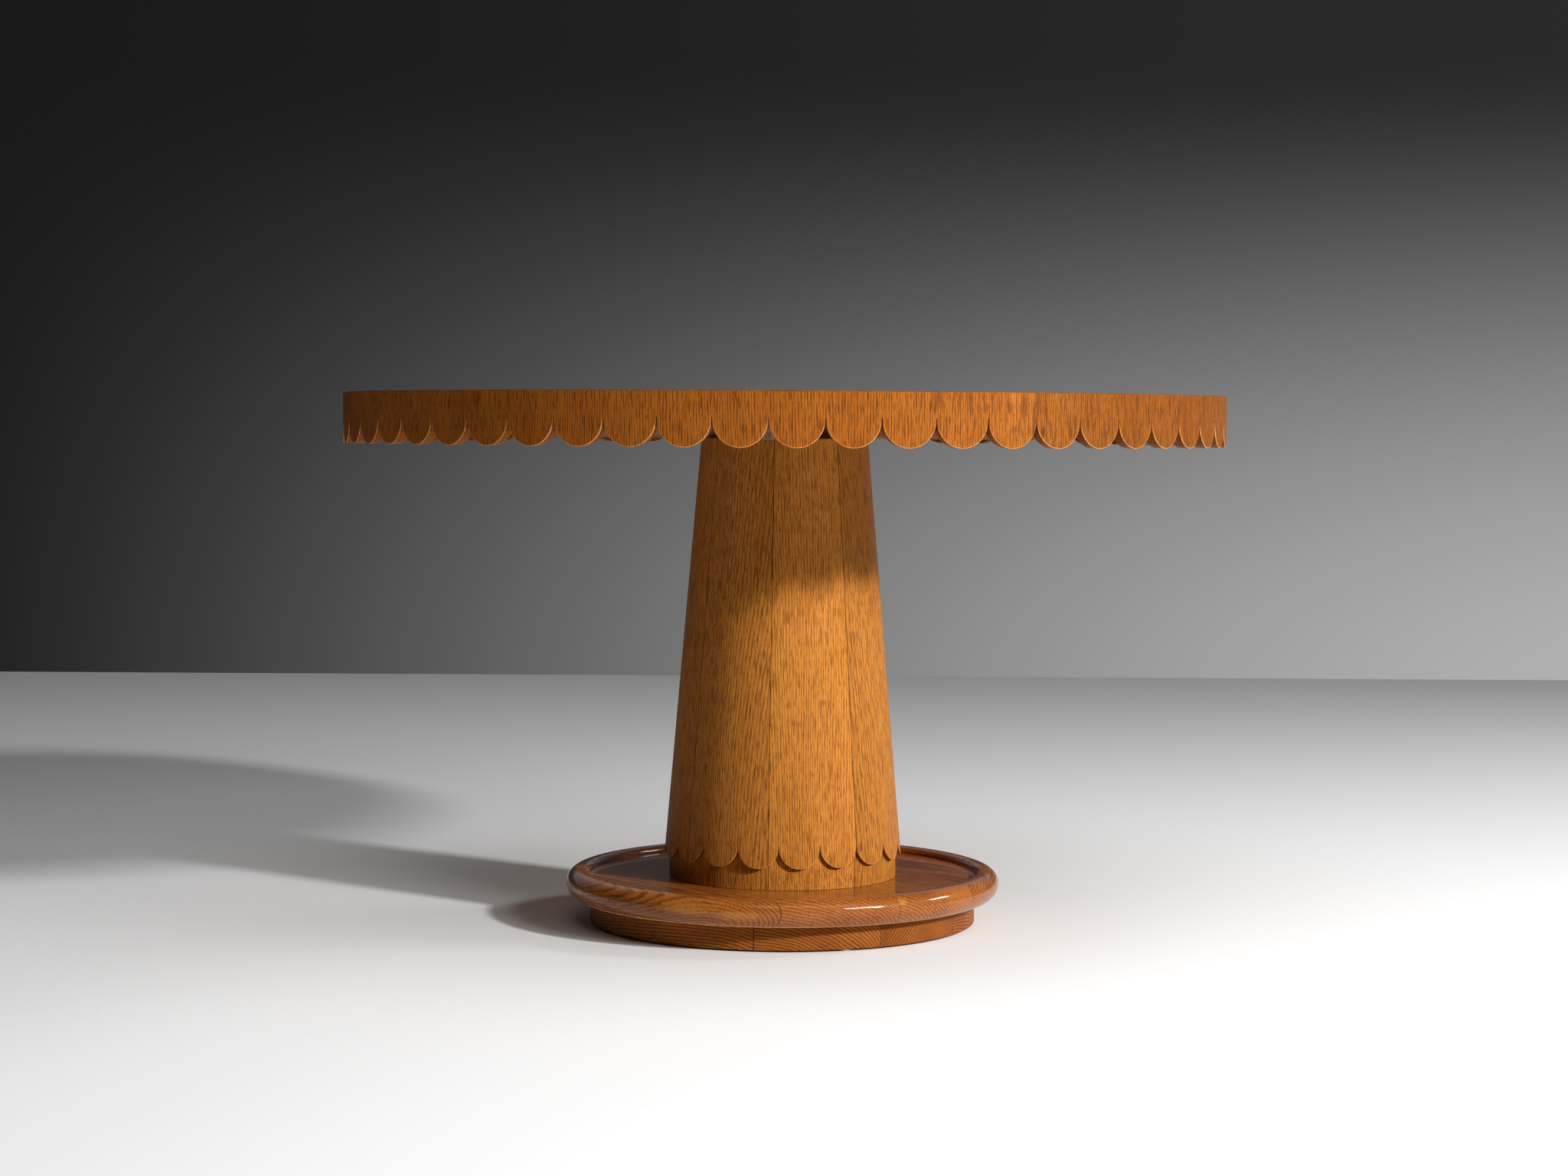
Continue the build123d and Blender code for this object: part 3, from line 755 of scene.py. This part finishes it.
def column_stave(index):
    """One stave of the column."""
    span = 360 / STAVES
    start = STAVE_JOINT_ANGLE + index * span
    end = start + span
    middle = (start + end) / 2
    gap = math.degrees(STAVE_GAP / COLUMN_FOOT_RADIUS)
    groove = math.degrees(JOINT_GROOVE / COLUMN_FOOT_RADIUS)
    valley = math.floor((start - COLUMN_VALLEY_ANGLE) / column_row.pitch)
    first = COLUMN_VALLEY_ANGLE + valley * column_row.pitch
    candidates = column_row.angles(first, 4) + spread(start, end, 31)
    inner = sorted(a for a in candidates if start + 1.6 * groove < a < end - 1.6 * groove)
    kept = [inner[0]]
    for a in inner[1:]:
        if a - kept[-1] > LEAST_STEP:
            kept.append(a)
    angles = [start + gap, start + gap + groove] + kept + [end - gap - groove, end - gap]
    outlines = []
    for i, a in enumerate(angles):
        sunk = JOINT_GROOVE if i in (0, len(angles) - 1) else 0.0
        opening = 0.0
        if index == OPEN_JOINT and i == 0:
            opening = OPEN_JOINT_WIDTH
        outlines.append(column_outline(a, middle, sunk, opening))
    across, depth, lean, tone = STAVE_FIGURES[index]

    def grain(p):
        radius = radius_of(p)
        turn = math.radians(turn_from(middle, p))
        return (radius * turn + across, depth + column_radius(p.z) - radius + lean * p.z, p.z)

    def seam(p):
        side = span / 2 - abs(turn_from(middle, p))
        return math.radians(side) * radius_of(p)

    # Lighter edge colour along the scallops' lower arris: partly wear, partly a painted highlight where
    # the rounded arris catches the light
    def worn_edge_and_painted_light(p):
        radius = radius_of(p)
        outer = radius > max(column_radius(p.z) - COLUMN_ARRIS - EDGE_PAINT_MARGIN, DRUM_RADIUS + MM)
        edge = column_row.edge_z(angle_of(p), COLUMN_FOOT_RADIUS, COLUMN_ARRIS + EDGE_PAINT_MARGIN)
        below = clamped((column_row.centre_z - p.z) / COLUMN_EDGE_PAINT_HEIGHT)
        return 0.6 * below if outer and p.z < edge else 0.0

    make_piece(
        stave_names[index], lofted(outlines), column_oak, grain, seam, worn_edge_and_painted_light, tone)


# ---- Face veneer ----

VENEER_ROUND = 0.7 * MM
# How far in from the edge two extra rings of vertices run, and the width of the edge that is painted
# dark as painted shade
VENEER_RINGS = (4 * MM, 100 * MM)
VENEER_EDGE_SHADE_WIDTH = 1 * MM
# The log's heart, across a leaf and below its face, which it nears towards -X
LEAF_HEART = 0.012
LEAF_TAPER = 0.10
LEAF_APEX = -0.85


def top_veneer():
    """The leaves of the face veneer, from one disc with a rounded edge."""
    near, far = (TOP_RADIUS - inset for inset in VENEER_RINGS)
    profile = [(0, VENEER_BOTTOM), (far, VENEER_BOTTOM), (TOP_RADIUS, VENEER_BOTTOM)]
    profile += arc((TOP_RADIUS - VENEER_ROUND, TABLE_HEIGHT - VENEER_ROUND), VENEER_ROUND, 0, 90, 6)
    profile += [(near, TABLE_HEIGHT), (far, TABLE_HEIGHT), (0, TABLE_HEIGHT)]
    disc = turned(profile, 720)
    width = 2 * TOP_RADIUS / LEAVES
    for i, name in enumerate(leaf_names):
        low = None if i == 0 else -TOP_RADIUS + i * width
        high = None if i == LEAVES - 1 else -TOP_RADIUS + (i + 1) * width
        middle = -TOP_RADIUS + (i + 0.5) * width
        mirror = 1 if i % 2 else -1

        def grain(p, middle=middle, mirror=mirror):
            depth = LEAF_TAPER * (p.x - LEAF_APEX) + TABLE_HEIGHT - p.z
            return (mirror * (p.y - middle) + LEAF_HEART, depth, p.x)

        def seam(p, middle=middle):
            return width / 2 - abs(p.y - middle)

        # Painted shade: the rounded top edge is painted dark, to dull the light that its roundover
        # catches
        def worn_edge_and_painted_light(p):
            outer = radius_of(p) > TOP_RADIUS - VENEER_EDGE_SHADE_WIDTH
            return 0.6 if outer and p.z > VENEER_BOTTOM + EDGE_PAINT_MARGIN else 0.0

        leaf = sawn(disc, (0, 1, 0), low, high)
        make_piece(name, leaf, veneer_oak, grain, seam, worn_edge_and_painted_light, 0.45)
    disc.free()


# ---- Base ----

RING_FOOT_ARRIS = 0.5 * MM
# Above the plinth: the top of the ring's small upright land, and where its nose begins
LAND_TOP = 1.2 * MM
NOSE_START = 1.6 * MM
PLINTH_ARRIS = 0.8 * MM
# Radii of extra rings of vertices, which split up the large flat faces
MID_RING = 0.12
UNDER_RING = 0.15
DISH_RING = 0.22
PLINTH_RING = 0.24


def tuck_arc(count):
    """The lower part of the ring's nose, from the underside out to the nose."""
    drop = RING_NOSE - PLINTH_TOP
    tuck = RING_RADIUS - RING_FOOT_RADIUS
    radius = (drop ** 2 + tuck ** 2) / (2 * tuck)
    sweep = math.degrees(math.asin(drop / radius))
    return arc((RING_RADIUS - radius, RING_NOSE), radius, -sweep, 0, count)


def dish_profile():
    """The turned upper layer, from the axis at its underside to the axis at its floor."""
    nose = RING_RADIUS - CREST_OUTER
    cove = CREST_INNER - DISH_RADIUS
    arris = RING_FOOT_ARRIS
    land = RING_FOOT_RADIUS + 0.6 * arris
    profile = [(0, PLINTH_TOP), (UNDER_RING, PLINTH_TOP)]
    profile += [(RING_FOOT_RADIUS - 0.4 * arris, PLINTH_TOP)]
    profile += [(land, PLINTH_TOP + 0.8 * arris), (land, PLINTH_TOP + LAND_TOP)]
    profile += [point for point in tuck_arc(16) if point[1] > PLINTH_TOP + NOSE_START]
    profile += arc((CREST_OUTER, RING_NOSE), nose, 0, 90, 16)[1:]
    profile += [((CREST_OUTER + CREST_INNER) / 2, RING_TOP)]
    profile += arc((CREST_INNER, DISH_FLOOR), cove, 90, 180, 12)
    profile += [(DISH_RING, DISH_FLOOR), (MID_RING, DISH_FLOOR), (0, DISH_FLOOR)]
    return profile


def plinth_profile():
    """The turned lower layer, with rounded arrises."""
    radius = PLINTH_RADIUS - PLINTH_ARRIS
    low = PLINTH_BOTTOM + PLINTH_ARRIS
    high = PLINTH_TOP - PLINTH_ARRIS
    profile = [(0, PLINTH_BOTTOM), (MID_RING, PLINTH_BOTTOM), (PLINTH_RING, PLINTH_BOTTOM)]
    profile += arc((radius, low), PLINTH_ARRIS, -90, 0, 5)
    profile += [(PLINTH_RADIUS, z) for z in spread(low, high, 5)[1:-1]]
    profile += arc((radius, high), PLINTH_ARRIS, 0, 90, 5)
    profile += [(MID_RING, PLINTH_TOP), (0, PLINTH_TOP)]
    return profile


# Of each board of the two layers: where the heart lies, across the board and below the floor, how
# much the log bends away from it, which closes the figure into ovals, and the tone
RING_FIGURES = (
    (-0.017, -0.024, 0.60, 0.55),
    (0.13, 0.16, 0.0, 0.46),
    (0.12, 0.10, 0.0, 0.42),
    (-0.05, 0.16, 0.0, 0.40),
    (0.04, 0.18, 0.0, 0.42),
)
PLINTH_FIGURES = (
    (-0.03, 0.05, 0.3, 0.30),
    (0.10, 0.14, 0.0, 0.40),
    (-0.14, 0.12, 0.0, 0.36),
    (0.07, 0.16, 0.0, 0.30),
    (0.02, 0.20, 0.0, 0.36),
)
# How far along the boards the ovals lie from the table's axis
OVALS_CENTRE = 0.115


def base_layer(names, profile, material, figures):
    """One layer of the base, sawn into its boards."""
    solid = turned(profile, 360)
    way = math.radians(GRAIN_ANGLE)
    along = Vector((math.cos(way), math.sin(way), 0))
    across = Vector((-math.sin(way), math.cos(way), 0))
    for i, name in enumerate(names):
        low = None if i == 0 else (i - BOARDS / 2) * BOARD_WIDTH
        high = None if i == BOARDS - 1 else (i + 1 - BOARDS / 2) * BOARD_WIDTH
        middle = (i + 0.5 - BOARDS / 2) * BOARD_WIDTH
        aside, below, bend, tone = figures[i]

        def grain(p, middle=middle, aside=aside, below=below, bend=bend):
            depth = p.z + below + bend * (p.dot(along) - OVALS_CENTRE) ** 2
            return (p.dot(across) - middle + aside, depth, p.dot(along))

        def seam(p, low=low, high=high):
            return min(abs(p.dot(across) - cut) for cut in (low, high) if cut is not None)

        # Painted highlight: a light golden line along the ring's small upright land and the plinth's
        # top arris, as if the edge caught the light
        def worn_edge_and_painted_light(p):
            outer = radius_of(p) > RING_FOOT_RADIUS - 0.8 * MM
            return 1.0 if outer and -0.1 * MM < p.z - PLINTH_TOP < LAND_TOP + 0.1 * MM else 0.0

        board = sawn(solid, across, low, high)
        make_piece(name, board, material, grain, seam, worn_edge_and_painted_light, tone)
    solid.free()


# ---- Build the pieces ----

for number in range(RIM_SEGMENTS):
    rim_segment(number)
top_veneer()
for number in range(STAVES):
    column_stave(number)
base_layer(ring_names, dish_profile(), ring_oak, RING_FIGURES)
base_layer(plinth_names, plinth_profile(), plinth_oak, PLINTH_FIGURES)


# ---- Materials of the carried-over CAD nodes ----

def plain_wood(name, light, dark, axis, roughness=0.6):
    """Hidden or oiled wood, with straight grain along one axis of the frame."""
    s = Shader(name)
    x, y, z = s.split(s.place())
    order = {"x": (y, z, x), "y": (x, z, y), "z": (x, y, z)}[axis]
    grain = s.join(*order)
    rings = s.noise(grain, (170, 170, 3), 2)
    pores = s.step(s.noise(grain, (1000, 1000, 45), 2), 0.55, 0.66)
    cloud = s.noise(grain, (14, 14, 2), 3)
    color = s.mix(s.step(rings, 0.35, 0.65), light, dark)
    color = s.mix(s.math("MULTIPLY", pores, 0.5), color, deepened(dark, 0.4))
    shade = s.step(cloud, 0.2, 0.8, 0.85, 1.12)
    color = s.scaled(color, shade)
    normal = s.bump(s.math("MULTIPLY_ADD", pores, -1.0, rings), 0.8, 0.15 * MM)
    rough = s.math("MULTIPLY_ADD", s.math("SUBTRACT", cloud, 0.5), 0.15, roughness)
    return s.finish(color, rough, normal)


def nylon():
    """White glides, scuffed where they meet the floor."""
    s = Shader("glide_nylon_white")
    place = s.place()
    scuffs = s.step(s.noise(place, (260, 900, 60), 4), 0.50, 0.62)
    dirt = s.step(s.noise(place, (90, 90, 200), 4), 0.45, 0.7)
    color = s.mix(s.math("MULTIPLY", dirt, 0.35), rgb(232, 230, 222), rgb(150, 142, 128))
    rough = s.math("MULTIPLY_ADD", scuffs, 0.25, 0.38)
    normal = s.bump(s.math("MULTIPLY", scuffs, -1.0), 0.5, 0.05 * MM)
    return s.finish(color, rough, normal, Subsurface_Weight=0.15)


def zinc():
    """Zinc-plated steel, with the faint bloom and fine scratches of old fixings."""
    s = Shader("zinc_plated_steel")
    place = s.place()
    bloom = s.noise(place, (240, 240, 240), 4)
    scratches = s.noise(place, (1800, 1800, 160), 2)
    color = s.mix(s.step(bloom, 0.35, 0.7), rgb(188, 190, 190), rgb(142, 138, 124))
    rough = s.math("MULTIPLY_ADD", bloom, 0.30, 0.22)
    return s.finish(color, rough, s.bump(scratches, 0.3, 0.04 * MM), Metallic=1.0)


# The other visible nodes are steel: the tie rod with its nuts and washers, the screws and the nails
materials = {
    # Painted light: the long bearer is painted lighter, standing in for bounce light that its shaded
    # face lacks, and the cross bearer darker where more light reaches its end
    "bearer_long": plain_wood("long_bearer_oak_painted_bounce_light", rgb(168, 112, 72), rgb(130, 78, 44), "x"),
    "bearer_cross": plain_wood("cross_bearer_oak_painted_shade", rgb(128, 80, 48), rgb(92, 54, 30), "y"),
    "top_core": plain_wood("core_board_wood", rgb(186, 148, 100), rgb(160, 120, 76), "x", 0.7),
    "backing_veneer": plain_wood("backing_veneer_oak", rgb(170, 124, 78), rgb(134, 90, 52), "x"),
}
hidden_wood = plain_wood("hidden_wood_plain", rgb(196, 158, 108), rgb(166, 126, 80), "z", 0.7)
white_nylon = nylon()
zinc_steel = zinc()
WOOD_BLOCKS = ("rim_splines", "column_splines", "column_top_block", "column_foot_block")
for node_name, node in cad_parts.items():
    if node.hide_render:
        continue
    if node_name in WOOD_BLOCKS:
        material = hidden_wood
    elif node_name == "floor_glides":
        material = white_nylon
    else:
        material = materials.get(node_name, zinc_steel)
    node.data.materials.clear()
    node.data.materials.append(material)


# ---- Stage: floor and background ----

FLOOR_NEAR = -14.0
FLOOR_FAR = 4.22
FLOOR_HALF_WIDTH = 14.0


def floor():
    """A plain pale floor, which ends where the background begins behind the table."""
    bm = bmesh.new()
    corners = ((-1, FLOOR_NEAR), (1, FLOOR_NEAR), (1, FLOOR_FAR), (-1, FLOOR_FAR))
    bm.faces.new([bm.verts.new((side * FLOOR_HALF_WIDTH, y, 0)) for side, y in corners])
    mesh = bpy.data.meshes.new("floor")
    bm.to_mesh(mesh)
    bm.free()
    s = Shader("floor_pale")
    place = s.place()
    mottle = s.noise(place, (1.1, 1.1, 1.1), 4)
    specks = s.step(s.noise(place, (60, 60, 60), 2), 0.72, 0.78)
    color = s.mix(s.math("MULTIPLY", mottle, 0.08), rgb(226, 226, 226), rgb(205, 205, 205))
    color = s.mix(s.math("MULTIPLY", specks, 0.12), color, rgb(150, 150, 150))
    rough = s.math("MULTIPLY_ADD", mottle, 0.1, 0.70)
    mesh.materials.append(s.finish(color, rough, Specular_IOR_Level=0.05))
    stage = bpy.data.objects.new("floor", mesh)
    bpy.context.scene.collection.objects.link(stage)


def background():
    """A plain grey background, darker above and to the left, with a soft glow over the view.

    x, y and z are the direction looked in, so the wall lies only towards +Y, behind the table.
    """
    world = bpy.data.worlds.new("studio")
    world.use_nodes = True
    bpy.context.scene.world = world
    n = Nodes(world.node_tree)
    x, y, z = n.split(n.nodes.new("ShaderNodeTexCoord").outputs["Generated"])
    behind = n.step(y, 0.4, 0.95)
    wall = n.math("MULTIPLY", n.step(x, -0.30, 0.36), n.step(z, -0.09, 0.12, 0.46, 0.014))
    glow = n.step(z, 0.145, 0.22, 0.0, 0.25)
    grey = n.math("MULTIPLY_ADD", n.math("ADD", wall, glow), behind, 0.010)
    surface = n.nodes.new("ShaderNodeBackground")
    n.feed(surface.inputs["Color"], grey)
    output = n.nodes.new("ShaderNodeOutputWorld")
    n.links.new(surface.outputs[0], output.inputs["Surface"])


floor()
background()


# ---- Lights and camera ----

def lamp(name, azimuth, elevation, distance, size, power, aim):
    """A soft light of a width and height, at an azimuth to the right of the front.

    Angles are in degrees, distances and sizes in metres, and the power in watts.
    """
    data = bpy.data.lights.new(name, "AREA")
    data.shape = "RECTANGLE"
    data.size, data.size_y = size
    data.energy = power
    light = bpy.data.objects.new(name, data)
    flat = distance * math.cos(math.radians(elevation))
    offset = Vector((
        flat * math.sin(math.radians(azimuth)),
        -flat * math.cos(math.radians(azimuth)),
        distance * math.sin(math.radians(elevation)),
    ))
    light.location = Vector(aim) + offset
    light.rotation_mode = "QUATERNION"
    light.rotation_quaternion = (-offset).to_track_quat("-Z", "Y")
    bpy.context.scene.collection.objects.link(light)


lamp("key_light", 52.2, 21.8, 6.0, size=(0.36, 0.34), power=430, aim=(0, 0, 0.48))
lamp("front_light", 42, 24, 5.0, size=(1.3, 0.7), power=75, aim=(0, 0, 0.40))
lamp("side_light", 99, 27, 5.0, size=(1.2, 0.5), power=60, aim=(0, 0, 0.40))
lamp("overhead_light", 20, 75, 3.4, size=(3.0, 3.0), power=60, aim=(0, -0.5, 0))

# The camera that the photo was taken with, as a pinhole fit gives it. Angles are in radians
CAMERA_PLACE = (0.0, -4.3264, 0.7135)
CAMERA_PITCH = 0.0542
CAMERA_ROLL = 0.0055
LENS_MM = 69.36
SENSOR_MM = 36.0

camera_data = bpy.data.cameras.new("camera")
camera_data.lens = LENS_MM
camera_data.sensor_width = SENSOR_MM
camera = bpy.data.objects.new("camera", camera_data)
bpy.context.scene.collection.objects.link(camera)
tilt = Matrix.Rotation(math.pi / 2 - CAMERA_PITCH, 4, "X") @ Matrix.Rotation(CAMERA_ROLL, 4, "Z")
camera.matrix_world = Matrix.Translation(CAMERA_PLACE) @ tilt
bpy.context.scene.camera = camera
bpy.context.scene.view_settings.view_transform = "Standard"
